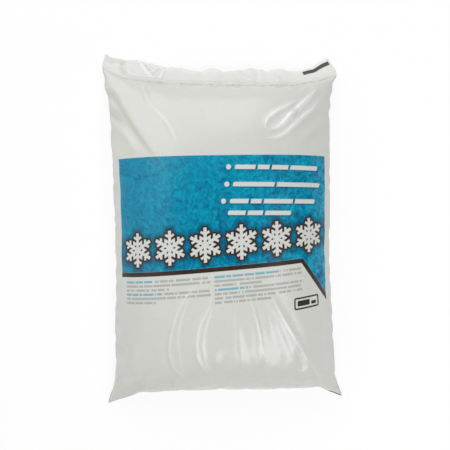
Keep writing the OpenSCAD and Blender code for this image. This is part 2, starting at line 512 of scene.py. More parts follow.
def bullet_distance(u, v):
    """Distance past the edge of the dots and broken bars on the panel."""
    edge = None
    for dot, level, first, last, gaps in BULLET_ROWS:
        drop = v - level - (u - first) * LINE_LEAN
        leaning = u - drop * ITALIC
        bar = box_distance(leaning - (first + last) / 2, drop, (last - first) / 2, BAR_HALF, BAR_CORNER)
        for gap in gaps:
            bar = bar.most(abs(leaning - gap) * -1 + GAP_HALF)
        edge = bar if edge is None else edge.least(bar)
        if dot is not None:
            x = u - dot
            y = v - level
            edge = edge.least((x * x + y * y).math("SQRT") - BULLET_DOT)
    return edge


def small_print(tree, u, level, block):
    """Cover of one block's grey rows and of its headings."""
    first, last, count, headings, shorts = block
    place = (level * -1 + ROW_TOP) / ROW_PITCH + 0.5
    row = place.floor()
    start = u * 0 + first
    end = u * 0 + last
    bold = u * 0
    for number, run in shorts:
        end = end - row.same(number) * (last - first - run)
    for number, run in headings:
        here = row.same(number)
        start = start + here * (run + HEADING_GAP)
        bold = bold.most(here * (abs(u - first - run / 2) - run / 2).inside(LINE_SOFT))
    held = ((abs(place - row - 0.5) - ROW_INK) * ROW_PITCH).inside()
    rows = (abs(place - count / 2) - count / 2).inside(ROW_SOFT)
    cell = add_node(tree, "ShaderNodeCombineXYZ", {"X": (u / DASH).floor(), "Y": row})
    letters = add_node(tree, "ShaderNodeTexWhiteNoise", {"Vector": cell.outputs[0]}, noise_dimensions="2D")
    inked = Field(tree, letters.outputs["Value"]).over(DASH_BLANK)
    strokes = (u * (2 * math.pi / LETTER)).math("SINE") * LETTER_SWING + (1 - LETTER_SWING)
    ink = held * rows * inked * strokes
    return (start - u).inside(LINE_SOFT) * (u - end).inside(LINE_SOFT) * ink, bold * ink


def printed(tree, place, ground):
    """Lays the print over a ground colour. Returns the colour and the cover of the solid ink."""
    finish = film_finish()
    uv, u, v = film_place(tree)
    level = v - u * TEXT_SLOPE

    lower_edge = (level - STRIPE_LEVEL).most((u - APEX[0]) * APEX_NORMAL[0] + (v - APEX[1]) * APEX_NORMAL[1])
    sides = (abs(u - PANEL_MIDDLE) - PANEL_HALF).most(v - PANEL_TOP)
    panel = sides.most(lower_edge * -1).inside()
    stripe = sides.most(abs(lower_edge + STRIPE_WIDTH / 2) - STRIPE_WIDTH / 2).inside()

    frost = (noise(tree, place, FROST_DRIFT_SCALE, 2.0) - 0.5) * FROST_DRIFT + FROST_BASE
    bold = u * FROST_BOLD_RIGHT + (v - FROST_BOLD_LEVEL) * FROST_BOLD_UP + FROST_BOLD
    for *scales, layer_share in FROST_LAYERS:
        frost = frost + frost_strokes(tree, uv, *scales) * bold * layer_share
    blue = mixed(tree, finish.deep_blue, finish.bright_blue, frost.clamped())

    row_u = u - PANEL_MIDDLE
    cell = (row_u - CRYSTAL_PITCH / 2).wrap(-CRYSTAL_PITCH / 2, CRYSTAL_PITCH / 2)
    crystal = crystal_distance(cell, level - CRYSTAL_LEVEL)
    crystal = crystal.most(abs(row_u) - CRYSTAL_PITCH * CRYSTAL_COUNT / 2)
    bullets = bullet_distance(u, v)
    shadow = bullet_distance(u - SHADOW_SHIFT, v + SHADOW_SHIFT)
    shade = np.multiply(finish.deep_blue, SHADE)
    layers = [
        (blue, panel),
        (finish.stripe, stripe),
        (shade, (crystal - HALO_REACH).inside(HALO_SOFT) * panel * HALO_COVER),
        (finish.stripe, (crystal - CRYSTAL_OUTLINE).inside(OUTLINE_SOFT)),
        (finish.paper_white, crystal.inside()),
        (shade, shadow.inside(SHADOW_SOFT) * SHADOW_COVER),
        (finish.paper_white, bullets.inside()),
    ]
    for block in (LEFT_BLOCK, RIGHT_BLOCK):
        grey, heading = small_print(tree, u, level, block)
        layers.append((finish.small_print, grey * SMALL_PRINT_COVER))
        layers.append((finish.heading, heading * HEADING_COVER))

    x = u - BADGE_MIDDLE[0]
    y = level - BADGE_MIDDLE[1] + BADGE_MIDDLE[0] * TEXT_SLOPE
    badge = box_distance(x, y, *BADGE_HALF, BADGE_CORNER)
    marks = (abs(badge + BADGE_RIM) - BADGE_RIM).inside()
    for right, up, *half in BADGE_BLOCKS:
        marks = marks.most(box_distance(x - right, y - up, *half, BLOCK_CORNER).inside())
    ear = box_distance(u - EAR_MARK_MIDDLE[0], v - EAR_MARK_MIDDLE[1], *EAR_MARK_HALF)
    marks = marks.most(ear.inside())
    layers.append((finish.stripe, marks))
    for ink, cover in layers:
        ground = mixed(tree, ground, ink, cover)
    return ground, panel.most(stripe).most(marks)


BREAK_SCALE = 60.0
# Level and gain of the breaks in the painted crest highlight, as in the pairs for specks, mottle and lines
BREAK = (0.22, 4.0)
# Cover of the painted fold shade, and of the dust specks that share its mask
DUST_AND_SHADE_COVER = 0.7
CREST_COAT_ROUGHNESS = 0.10


def creased(tree, place, under, white, dust_and_fold_shade):
    """Lays painted shade in the dust colour over the folds, with any dust specks that share its mask, and a
    broken painted highlight on the crests over a colour.
    """
    finish = film_finish()
    broken = noise(tree, place, BREAK_SCALE, 3.0).above(*BREAK)
    shade_and_dust_laid = mixed(tree, under, finish.dust_and_fold_shade, dust_and_fold_shade * DUST_AND_SHADE_COVER)
    return mixed(tree, shade_and_dust_laid, finish.crease_highlight, white * broken)


def coat_crests(tree, shader, white, ior):
    """Gives the stretched film of the crests a stronger gloss."""
    feed_all(tree, shader, {"Coat Weight": white, "Coat Roughness": CREST_COAT_ROUGHNESS, "Coat IOR": ior})


# Crinkle, grain and strength of the film's bump, as for the reliefs of the other finishes
FILM_RELIEF = (0.30, 0.4, 1.0)
FILM_DARK = 0.90
DUST_LEVEL = 0.42
DUST_MOTTLE = 1.1
DUST_GRAIN = 0.8
DUST_GRAIN_SCALE = 260.0
BOTTOM_SOIL = (0.270, 0.315)
SPECK_SCALE = 45.0
SPECKS = (0.52, 5.0)
SPECK_COVER = 0.55
FILM_COAT_IOR = 1.6
FILM_ROUGHNESS_SWING = 0.14
INK_ROUGHNESS = 0.05


def film_material():
    """Glossy white film with salt behind it and the print on its front."""
    finish = film_finish()
    material, tree, shader = new_material("printed_film")
    place = object_place(tree)
    rise, white, dust_and_fold_shade = crease_fields(tree, place)
    mottle = crinkled(tree, shader, FILM_RELIEF, rise)
    grains = noise(tree, place, DUST_GRAIN_SCALE, 2.0)
    dusty = ((mottle - DUST_LEVEL) * DUST_MOTTLE + (grains - 0.5) * DUST_GRAIN).clamped()
    ground = mottled(tree, finish.white, FILM_DARK, dusty)
    ground, cover = printed(tree, place, ground)
    # Dust specks along the bottom edge, painted shade in the valley folds and a painted highlight on the
    # crests
    low = (parts(tree, place)[1] * -1).ramp(*BOTTOM_SOIL)
    specks = noise(tree, place, SPECK_SCALE, 4.0, 0.65).above(*SPECKS)
    ground = creased(tree, place, ground, white, dust_and_fold_shade.most(low * specks * SPECK_COVER))
    coat_crests(tree, shader, white, FILM_COAT_IOR)
    rough = (mottle - 0.5) * FILM_ROUGHNESS_SWING + finish.gloss + cover * INK_ROUGHNESS
    feed_all(tree, shader, {"Base Color": ground, "Roughness": rough})
    return material


LOOSE_RELIEF = (0.8, 0.0, 0.8)
LOOSE_DARK = 0.93
LOOSE_MOTTLE = (0.4, 2.0)
LOOSE_COVER_SWING = 0.12
# Share of the painted fold shade on the loose film
LOOSE_FOLD_SHADE = 0.5
LOOSE_COAT_IOR = 2.2
LOOSE_ROUGHNESS_SWING = 0.2
MARK_START = (164.0, 23.0)
MARK_END = (222.0, 29.0)
MARK_HALF = 3.7


def loose_film_material(name, cover, marked):
    """Thin film past a weld, with a dark register mark where asked."""
    finish = film_finish()
    material, tree, shader = new_material(name)
    place = object_place(tree)
    rise, white, dust_and_fold_shade = crease_fields(tree, place)
    mottle = crinkled(tree, shader, LOOSE_RELIEF, rise)
    ground = mottled(tree, finish.skirt_white, LOOSE_DARK, mottle.above(*LOOSE_MOTTLE))
    alpha = (mottle - 0.5) * LOOSE_COVER_SWING + cover
    if marked:
        _, u, past_weld = film_place(tree)
        wide = MARK_END[0] - MARK_START[0]
        climb = MARK_END[1] - MARK_START[1]
        run = math.hypot(wide, climb)
        x = u - MARK_START[0]
        y = past_weld - MARK_START[1]
        along = x * (wide / run) + y * (climb / run)
        off = y * (wide / run) - x * (climb / run)
        mark = box_distance(along - run / 2, off, run / 2, MARK_HALF).inside()
        ground = mixed(tree, ground, finish.stripe, mark)
        alpha = alpha.most(mark)
    # Painted shade in the loose film's folds and a painted highlight on its crests
    ground = creased(tree, place, ground, white, dust_and_fold_shade * LOOSE_FOLD_SHADE)
    coat_crests(tree, shader, white, LOOSE_COAT_IOR)
    rough = (mottle - 0.5) * LOOSE_ROUGHNESS_SWING + finish.gloss
    feed_all(tree, shader, {"Base Color": ground, "Alpha": alpha, "Roughness": rough})
    return material


WELD_RELIEF = (0.8, 0.3, 0.8)
WELD_DARK = 0.92
WELD_MOTTLE = (0.45, 3.0)
WELD_PALE = 0.5
WELD_ROUGHNESS_SWING = 0.2
WELD_ROUGHNESS = 1.8
LINE_PLACE = 0.10
LINE_WIDTH = 0.10
LINE_COVER = 0.8
LINE_FADE = (-0.15, -0.10)
LINE_BREAK_SCALE = 75.0
LINE_BREAK = (0.46, 6.0)
LINE_STRETCH_SCALE = 11.0
LINE_STRETCH = (0.31, 5.0)


def weld_material():
    """Pressed film of a weld, with a thin broken line along its inner edge."""
    finish = film_finish()
    material, tree, shader = new_material("welded_film")
    mottle = crinkled(tree, shader, WELD_RELIEF)
    place = object_place(tree)
    across = Field(tree, add_node(tree, "ShaderNodeAttribute", attribute_name="seal_across").outputs["Fac"])
    broken = noise(tree, place, LINE_BREAK_SCALE, 3.0, 0.7).above(*LINE_BREAK)
    pressed = parts(tree, place)[0].ramp(*LINE_FADE)
    stretches = noise(tree, place, LINE_STRETCH_SCALE, 2.0).above(*LINE_STRETCH)
    line = ((across - LINE_PLACE) / LINE_WIDTH).bell() * broken * pressed * stretches
    ground = mottled(tree, finish.weld_white, WELD_DARK, mottle.above(*WELD_MOTTLE))
    ground = mixed(tree, ground, finish.skirt_white, across * across * WELD_PALE)
    ground = mixed(tree, ground, finish.weld_line, line * LINE_COVER)
    rough = (mottle - 0.5) * WELD_ROUGHNESS_SWING + finish.gloss * WELD_ROUGHNESS
    feed_all(tree, shader, {"Base Color": ground, "Roughness": rough})
    return material


SALT_RELIEF = (0.2, 6.0, 1.0)
SALT_DARK = (0.72, 0.66, 0.58)
SALT_MOTTLE = (0.5, 2.2)
SALT_ROUGHNESS_SWING = 0.3
SALT_ROUGHNESS = 0.45


def salt_material():
    """Coarse off-white rock salt."""
    finish = film_finish()
    material, tree, shader = new_material("rock_salt")
    mottle = crinkled(tree, shader, SALT_RELIEF)
    ground = mottled(tree, finish.salt, SALT_DARK, mottle.above(*SALT_MOTTLE))
    rough = mottle * SALT_ROUGHNESS_SWING + SALT_ROUGHNESS
    feed_all(tree, shader, {"Base Color": ground, "Roughness": rough})
    return material


# The filled form of the sack and the film that lies on it

TINY = 1e-12
SECTION_POWER = 2.4
SECTION_FALL = 0.8
END_POWER = 6
END_FALL = 0.6
BACK_POWER = 6
BACK_PRESS = 1.4
FLARE_POWER = 0.6
FLOOR_GAP = 0.001
SIDE_POWER = 3
# Place along the sack from -1 to 1, and how much fuller the left and the right side are there in millimetres
SIDE_LINE = (
    (-1.00, 0.0, 0.0), (-0.93, 0.0, 1.0), (-0.87, 2.0, 5.5), (-0.74, -1.0, 2.5), (-0.60, -0.5, 0.0),
    (-0.34, -3.0, -3.5), (-0.08, -2.5, -4.0), (0.05, -3.5, -2.0), (0.30, -1.5, 0.0), (0.58, 1.5, 0.5),
    (0.71, 2.0, 2.0), (0.79, 2.5, 2.5), (0.83, 4.5, 5.5), (0.92, 6.5, 3.0), (0.96, 0.0, -2.0),
    (1.00, 0.0, 0.0),
)
# Place across the sack from -1 to 1, and how far the top weld lies past its middle there in millimetres
TOP_LINE = (
    (-1.00, 48.0), (-0.90, 32.0), (-0.80, 20.0), (-0.66, 15.0), (-0.46, 8.0), (-0.13, 3.3), (0.00, 0.0),
    (0.28, -3.0), (0.60, -3.5), (0.74, 2.0), (0.84, 8.0), (0.92, 15.0), (1.00, 20.0),
)


def top_droop(size):
    """Angle at which the top weld and skirt slope down to the floor."""
    run = size.top_ear_reach + size.weld_width + size.top_skirt
    return math.asin((size.top_weld_height - FLOOR_GAP) / run)


def into_ear(place, half, ear):
    """How far places from -1 to 1 lie into an ear: 0 up to its start, 1 at the corner."""
    return np.maximum(0, 1 - (1 - abs(place)) * half / ear)


def sack_form(size, across, along, front):
    """Points of the filled sack, for places from -1 to 1 across and along it."""
    droop = top_droop(size)
    swell = np.maximum(0, 1 - abs(along) ** END_POWER) ** END_FALL
    section = np.maximum(0, 1 - abs(across) ** SECTION_POWER) ** SECTION_FALL
    flare = (1 - swell) ** FLARE_POWER
    half = size.layflat / 2
    bottom_ear = np.where(across < 0, size.bottom_left_ear, size.bottom_right_ear)
    bottom_bow = into_ear(across, half, bottom_ear)
    top_bow = np.interp(across, *np.array(TOP_LINE).T) * MM
    at_bottom = along < 0
    ring = np.where(at_bottom, size.bottom_weld_height - size.bottom_ear_drop * bottom_bow,
                    size.top_weld_height - top_bow * math.sin(droop))
    side = size.side_height + flare * (ring - size.side_height)
    widened = into_ear(along, size.body_length / 2, size.ear_length)
    stops, left, right = np.array(SIDE_LINE).T
    fuller = np.where(across < 0, np.interp(along, stops, left), np.interp(along, stops, right)) * MM
    x = (size.waist + (size.layflat - size.waist) * widened) / 2 * across
    x = x + fuller * across * abs(across) ** SIDE_POWER
    bottom_reach = size.bottom_lean * across - size.bottom_ear_reach * bottom_bow
    reach = np.where(at_bottom, bottom_reach, top_bow * math.cos(droop))
    y = along * size.body_length / 2 + flare * reach + WELD_LOW.y - size.body_length / 2
    if front:
        middle = (size.crown_bottom + size.crown_top) / 2
        crown = middle + along * (size.crown_top - size.crown_bottom) / 2
        z = side + crown * section * swell
    else:
        pressed = np.sqrt(np.maximum(0, 1 - abs(across) ** BACK_POWER))
        pressed = pressed * np.sqrt(np.maximum(0, 1 - abs(along) ** BACK_POWER))
        z = side * (1 - np.minimum(1, BACK_PRESS * pressed))
    return np.stack([x, y, z], -1)


# How strongly a tie between two points pulls when it is too long, and pushes when it is too short
EDGE_TIE = (1.0, 0.8)
CROSS_TIE = (0.5, 0.4)
BEND_TIE = (0.0, 0.5)


def grid_quads(index):
    """Faces between the rows and columns of an index grid."""
    corners = (index[:-1, :-1], index[:-1, 1:], index[1:, 1:], index[1:, :-1])
    return np.stack([corner.ravel() for corner in corners], 1)


class FilmGrid:
    """Index grids of the front and back film, which share the side folds and both welds."""

    def __init__(self, size, columns, rows):
        self.columns = columns
        self.rows = rows
        count = (rows + 1) * (columns + 1)
        self.front = np.arange(count).reshape(rows + 1, columns + 1)
        self.back = self.front.copy()
        inner = (rows - 1) * (columns - 1)
        self.back[1:-1, 1:-1] = np.arange(count, count + inner).reshape(rows - 1, columns - 1)
        across = np.linspace(-size.layflat / 2, size.layflat / 2, columns + 1)
        along = np.linspace(-size.film_length / 2, size.film_length / 2, rows + 1)
        wide, long = np.meshgrid(across, along)
        self.flat = np.zeros((count + inner, 2))
        for grid in (self.front, self.back):
            self.flat[grid.ravel()] = np.c_[wide.ravel(), long.ravel()]

    def quads(self):
        """Faces of the closed tube, all pointing outwards."""
        return np.concatenate([grid_quads(self.front), grid_quads(self.back)[:, ::-1]])

    def links(self):
        """Groups of point pairs that share no point: edges, diagonals and points two apart."""
        groups = []
        for grid in (self.front, self.back):
            own = slice(None) if grid is self.front else slice(1, -1)
            for odd in (0, 1):
                first = grid[own, odd:-1:2]
                groups.append((first, grid[own, odd + 1::2][:, :first.shape[1]], EDGE_TIE))
                first = grid[odd:-1:2, own]
                groups.append((first, grid[odd + 1::2, own][:first.shape[0]], EDGE_TIE))
                first = grid[odd:-1:2, :-1]
                groups.append((first, grid[odd + 1::2, 1:][:first.shape[0]], CROSS_TIE))
                first = grid[odd:-1:2, 1:]
                groups.append((first, grid[odd + 1::2, :-1][:first.shape[0]], CROSS_TIE))
            for odd in range(4):
                second = grid[:, odd + 2::4]
                groups.append((grid[:, odd:-2:4][:, :second.shape[1]], second, BEND_TIE))
                second = grid[odd + 2::4, :]
                groups.append((grid[odd:-2:4, :][:second.shape[0]], second, BEND_TIE))
        return [(first.ravel(), second.ravel(), tie) for first, second, tie in groups]


def point_normals(points, quads):
    """Outward normals at the points of a mesh of quads."""
    spread = np.cross(points[quads[:, 2]] - points[quads[:, 0]], points[quads[:, 3]] - points[quads[:, 1]])
    normals = np.zeros_like(points)
    for corner in range(4):
        for axis in range(3):
            normals[:, axis] += np.bincount(quads[:, corner], spread[:, axis], len(points))
    return normals / np.maximum(np.linalg.norm(normals, axis=1, keepdims=True), TINY)


LENGTH_STEPS = 2001
FULLEST = -0.2
END_BLEND = 6
SIDE_BLEND = 4


def by_length(line):
    """Pairs a curve's length share with its own parameter, both from -1 to 1."""
    own = np.linspace(-1, 1, LENGTH_STEPS)
    steps = np.linalg.norm(np.diff(line(own), axis=0), axis=1)
    run = np.concatenate([[0], np.cumsum(steps)])
    return run / run[-1] * 2 - 1, own


def film_on_form(size, grid):
    """Lays the flat film on the filled form, spaced by its length over the form."""
    points = np.zeros((len(grid.flat), 3))
    for indices, front in ((grid.back, False), (grid.front, True)):
        across = grid.flat[indices, 0] / (size.layflat / 2)
        along = grid.flat[indices, 1] / (size.film_length / 2)
        middle = np.interp(across, *by_length(lambda a: sack_form(size, a, 0 * a + FULLEST, front)))
        near_end = abs(along) ** END_BLEND
        place_across = middle * (1 - near_end) + across * near_end
        centre = np.interp(along, *by_length(lambda a: sack_form(size, 0 * a, a, front)))
        fold = np.interp(along, *by_length(lambda a: sack_form(size, 0 * a + 1, a, front)))
        near_side = abs(across) ** SIDE_BLEND
        place_along = centre * (1 - near_side) + fold * near_side
        points[indices] = sack_form(size, place_across, place_along, front)
    return points


WAVE_COUNT = 16
WAVE_SPREAD = (0.7, 1.5)


def wavy(rng, points, scale, height):
    """A smooth random height made of long waves in all directions."""
    total = np.zeros(len(points))
    for _ in range(WAVE_COUNT):
        direction = rng.normal(size=3)
        direction *= 2 * math.pi / (scale * rng.uniform(*WAVE_SPREAD)) / np.linalg.norm(direction)
        total += np.cos(points @ direction + rng.uniform(0, 2 * math.pi))
    return height * total / math.sqrt(WAVE_COUNT / 2)


SETTLE_STEPS = 200
SETTLE_PASSES = 2
DRAG = 0.85
HOLD = 0.01
SINK = 0.0012
PRESS = 1e-6


def settle(points, heap, grid, slack):
    """Lets film with some slack settle over the heap of salt, until its spare length stands in puckers."""
    normals = point_normals(heap, grid.quads())
    ties = []
    for first, second, tie in grid.links():
        way = abs(grid.flat[first] - grid.flat[second])
        way = way / np.maximum(way.sum(1, keepdims=True), TINY)
        spare = ((slack[first] + slack[second]) / 2 * way).sum(1)
        rest = np.linalg.norm(heap[first] - heap[second], axis=1) * (1 + spare)
        ties.append((first, second, rest[:, None], *tie))
    speed = np.zeros_like(points)
    for _ in range(SETTLE_STEPS):
        before = points.copy()
        points = points + DRAG * speed - PRESS * normals
        for _ in range(SETTLE_PASSES):
            for first, second, rest, pull, push in ties:
                gap = points[second] - points[first]
                run = np.sqrt(np.einsum("ij,ij->i", gap, gap))[:, None] + TINY
                strain = (run - rest) / run
                weight = np.where(strain > 0, pull, push)
                move = 0.5 * weight * strain * gap
                points[first] += move
                points[second] -= move
            off = points - heap
            rise = np.einsum("ij,ij->i", off, normals)[:, None]
            points = points - HOLD * (off - rise * normals)
            points = points + np.maximum(-SINK - rise, 0) * normals
            points[:, 2] = np.maximum(points[:, 2], 0)
        speed = points - before
    return points


SMOOTH_PASSES = 14
EDGE_POWER = 10


def evened(form, points, grid):
    """Evens out the film's small ripples over the full middle of the sack, and keeps those near its edges."""
    points = points.copy()
    for indices in (grid.back, grid.front):
        shift = (points - form)[indices]
        even = shift.copy()
        for _ in range(SMOOTH_PASSES):
            even[1:-1] = (even[:-2] + 2 * even[1:-1] + even[2:]) / 4
            even[:, 1:-1] = (even[:, :-2] + 2 * even[:, 1:-1] + even[:, 2:]) / 4
        across = abs(np.linspace(-1, 1, indices.shape[1]))
        along = abs(np.linspace(-1, 1, indices.shape[0]))[:, None]
        kept = np.maximum(across ** EDGE_POWER, along ** EDGE_POWER)[..., None]
        points[indices] = form[indices] + even * (1 - kept) + shift * kept
    return points


def midway(values, axis):
    """Points half way between neighbours along an axis, on a smooth curve through them."""
    values = np.moveaxis(values, axis, 0)
    ends = np.concatenate([[2 * values[0] - values[1]], values, [2 * values[-1] - values[-2]]])
    middle = (9 * (ends[1:-2] + ends[2:-1]) - ends[:-3] - ends[3:]) / 16
    return np.moveaxis(middle, 0, axis)


def doubled(size, points, grid):
    """The same film on a grid twice as fine."""
    fine = FilmGrid(size, grid.columns * 2, grid.rows * 2)
    result = np.zeros((len(fine.flat), 3))
    for coarse_indices, indices in ((grid.back, fine.back), (grid.front, fine.front)):
        own = points[coarse_indices]
        full = np.zeros((*indices.shape, 3))
        full[::2, ::2] = own
        full[1::2, ::2] = midway(own, 0)
        full[:, 1::2] = midway(full[:, ::2], 1)
        result[indices] = full
    result[:, 2] = np.maximum(result[:, 2], 0)
    return result, fine


# Height, width, share of the crest and plan points of the front's creases, with lengths in millimetres. The
# share also sets the painted highlight along a ridge's crest and the painted shade in a valley.

MAIN_CREASES = (
    (1.6, 5.0, 0.9, ((-47, -95), (-66, -119), (-83, -149), (-93, -178), (-99, -206), (-99, -234), (-90, -257),
                     (-69, -280))),
    (1.6, 5.0, 1.0, ((-19, -117), (-30, -151), (-42, -173), (-48, -196), (-50, -219), (-45, -242),
                     (-25, -272))),
    (1.6, 5.5, 0.9, ((46, -120), (53, -139), (60, -165), (66, -195), (71, -222), (82, -238))),
    (1.8, 6.0, 1.1, ((86, -118), (106, -157), (124, -190), (139, -217), (152, -239), (164, -259))),
    (1.2, 9.0, 0.3, ((22, -140), (21, -183), (20, -220), (23, -256))),
    (1.4, 9.0, 0.3, ((104, -168), (118, -205), (136, -244))),
    (1.0, 4.6, 1.7, ((146, 244), (127, 232), (102, 218), (89, 206), (84, 193), (89, 185))),
    (1.0, 4.6, 2.2, ((187, 244), (176, 227), (163, 217), (147, 202), (133, 189), (123, 180), (108, 172),
                     (90, 170))),
    (-1.7, 8.0, 0.4, ((-222, 290), (-203, 256), (-185, 227), (-156, 184), (-122, 136))),
    (-1.8, 7.0, 0.4, ((-216, 230), (-204, 222), (-186, 206))),
    (2.0, 4.5, 0.3, ((-147, 281), (-141, 262), (-135, 244))),
    (1.4, 5.0, 0.6, ((-132, 240), (-122, 229), (-109, 215), (-94, 195), (-75, 153))),
    (-1.8, 8.0, 0.05, ((-206, -322), (-170, -298), (-140, -262), (-123, -215))),
    (0.8, 4.0, 0.5, ((164, -259), (173, -271), (182, -291))),
)
TWIN_CREASES = (
    (0.9, 4.6, 0.7, ((-50, -105), (-65, -130), (-76, -160), (-83, -191), (-83, -219), (-80, -245),
                     (-75, -271))),
    (1.0, 4.0, 0.8, ((-17, -134), (-27, -160), (-34, -182), (-39, -206), (-37, -227), (-32, -249),
                     (-21, -264))),
    (1.2, 8.0, 0.2, ((42, -139), (48, -174), (53, -206), (57, -240))),
    (1.2, 8.0, 0.2, ((82, -148), (86, -175), (96, -213), (108, -244))),
    (1.0, 5.0, 0.2, ((28, -176), (31, -212), (34, -246))),
    (1.0, 5.0, 0.2, ((60, -200), (64, -222), (70, -246))),
    (1.0, 5.0, 0.2, ((96, -166), (104, -190), (116, -222), (122, -240))),
    (1.0, 5.0, 0.2, ((118, -176), (126, -200), (134, -226))),
    (1.3, 5.0, 3.2, ((183, 263), (164, 243), (153, 233), (144, 223), (132, 213), (123, 203), (111, 192),
                     (96, 186))),
    (1.7, 8.0, 0.4, ((-210, 290), (-186, 250), (-166, 212), (-145, 177), (-112, 132))),
    (1.2, 6.0, 0.3, ((-200, 206), (-178, 180), (-158, 150))),
    (0.8, 5.0, 0.4, ((129, -247), (144, -266), (160, -259))),
)
# Height, width and plan points of the soft folds on the front
BROAD_FOLDS = (
    (3.8, 16.0, ((-132, -150), (-156, -196), (-169, -225), (-183, -260), (-204, -308))),
    (-2.0, 9.0, ((-186, -130), (-194, -180), (-200, -225), (-208, -262))),
    (-0.9, 14.0, ((-96, -240), (-118, -262), (-140, -290))),
    (-1.6, 10.0, ((214, 224), (185, 205), (172, 195), (154, 183), (140, 166))),
    (1.2, 9.0, ((210, 212), (184, 193), (169, 181), (156, 168))),
    (-1.4, 10.0, ((210, 194), (184, 175), (168, 161), (158, 142))),
    (-1.0, 12.0, ((20, -290), (46, -272), (70, -262), (96, -270))),
    (0.8, 9.0, ((80, 236), (66, 221), (54, 200))),
)
# Creases of the loose film past the top weld, whose shares also set painted highlights on the ridges and
# painted shade in the valleys
SKIRT_CREASES = (
    (2.0, 4.0, 2.0, ((-159, 331), (-150, 323), (-140, 310), (-126, 293))),
    (1.5, 3.0, 1.8, ((-109, 320), (-120, 316), (-132, 306))),
    (1.2, 3.0, 1.6, ((-109, 311), (-112, 301), (-118, 291))),
    (2.0, 5.0, 0.7, ((-225, 332), (-209, 316), (-189, 294))),
    (-2.5, 6.0, 0.4, ((-186, 335), (-186, 317), (-180, 294))),
    (1.2, 3.0, 1.2, ((-174, 311), (-166, 302), (-158, 294))),
    (1.0, 3.0, 1.6, ((-164, 328), (-153, 329), (-142, 326))),
    (0.8, 3.0, 1.0, ((44, 296), (52, 292), (58, 288))),
    (0.8, 3.0, 1.0, ((108, 294), (112, 290), (114, 286))),
)
CREASE_STEP = 2.0
CREASE_REACH = 5
CREASE_TAPER = 0.7
VALLEY_SHARE = 0.28
VALLEY_PLACE = 2.2
VALLEY_WIDTH = 1.3
CREST_FADE = 2


def smooth_line(points, step):
    """A smooth curve through a few plan points, at even steps."""
    points = np.array(points, float)
    ends = np.concatenate([[2 * points[0] - points[1]], points, [2 * points[-1] - points[-2]]])
    line = []
    for before, start, end, after in zip(ends[:-3], ends[1:-2], ends[2:-1], ends[3:]):
        count = max(2, int(np.linalg.norm(end - start) / step))
        t = np.linspace(0, 1, count, endpoint=False)[:, None]
        line.append(0.5 * (2 * start + (end - before) * t + (2 * before - 5 * start + 4 * end - after) * t * t
                           + (3 * start - before - 3 * end + after) * t ** 3))
    return np.concatenate(line + [points[-1:]])


def pressed_creases(plan, creases):
    """Height that creases add at plan places, and the offset from the nearest crest and its share there."""
    total = np.zeros(len(plan))
    crest = np.zeros((len(plan), 3))
    nearest_yet = np.full(len(plan), np.inf)
    places = plan / MM
    for height, width, sharp, points in creases:
        line = smooth_line(points, CREASE_STEP)
        way = np.gradient(line, axis=0)
        low = line.min(0) - CREASE_REACH * width
        high = line.max(0) + CREASE_REACH * width
        near = np.flatnonzero(((places > low) & (places < high)).all(1))
        gap = places[near, None] - line[None]
        nearest = np.linalg.norm(gap, axis=2).argmin(1)
        gap = gap[np.arange(len(near)), nearest]
        along = way[nearest] / np.linalg.norm(way[nearest], axis=1, keepdims=True)
        offset = along[:, 0] * gap[:, 1] - along[:, 1] * gap[:, 0]
        distance = np.linalg.norm(gap, axis=1)
        taper = np.sin(math.pi * (nearest + 1) / (len(line) + 1)) ** CREASE_TAPER
        ridge = np.exp(-(distance / width) ** 2)
        valley = VALLEY_SHARE * np.exp(-((distance - VALLEY_PLACE * width) / (VALLEY_WIDTH * width)) ** 2)
        total[near] += height * taper * (ridge - valley)
        closer = distance < nearest_yet[near]
        chosen = near[closer]
        nearest_yet[chosen] = distance[closer]
        fade = np.clip(CREST_FADE - distance / width, 0, 1)
        crest[chosen, 0] = (offset * MM)[closer]
        crest[chosen, 1] = (sharp * np.sign(height) * taper * fade)[closer]
    return total * MM, crest


def placed(name, data):
    """A new object at the origin, linked to the scene."""
    obj = bpy.data.objects.new(name, data)
    bpy.context.scene.collection.objects.link(obj)
    return obj


def mesh_object(name, points, faces, material):
    """A smooth mesh object at the origin."""
    mesh = bpy.data.meshes.new(name)
    mesh.from_pydata(points.tolist(), [], faces.tolist())
    mesh.polygons.foreach_set("use_smooth", np.ones(len(mesh.polygons), bool))
    mesh.materials.append(material)
    mesh.update()
    return placed(name, mesh)


def evaluated_mesh(obj, name):
    """A plain mesh of an object with its modifiers applied."""
    graph = bpy.context.evaluated_depsgraph_get()
    mesh = bpy.data.meshes.new_from_object(obj.evaluated_get(graph), depsgraph=graph)
    mesh.name = name
    return mesh


def sharpen(mesh, points):
    """Marks the edges between the given points as sharp."""
    chosen = np.zeros(len(mesh.vertices), bool)
    chosen[points] = True
    ends = np.zeros(len(mesh.edges) * 2, np.int32)
    mesh.edges.foreach_get("vertices", ends)
    layer = mesh.attributes.new("sharp_edge", "BOOLEAN", "EDGE")
    layer.data.foreach_set("value", chosen[ends.reshape(-1, 2)].all(1))


def write_crests(obj, crests):
    """Writes the offset from the nearest crest, and its share, as attributes of the points."""
    for name, values in crests.items():
        layer = obj.data.attributes.new(name, "FLOAT_VECTOR", "POINT")
        layer.data.foreach_set("vector", values.astype(np.float32).ravel())


def write_uv(obj, places):
    """Writes a UV map named film from a place for each face corner."""
    layer = obj.data.uv_layers.new(name="film")
    layer.data.foreach_set("uv", places.astype(np.float32).ravel())


COARSE_COLUMNS = 90
COARSE_ROWS = 126
SEED = 11
BACK_SHIFT = 3.0
TOP_SLACK = 0.016
BOTTOM_SLACK = 0.010
SIDE_SLACK = 0.014
LEAST_SLACK = 0.0005
SLACK_POWER = 12
EDGE_WAVE_POWER = 8
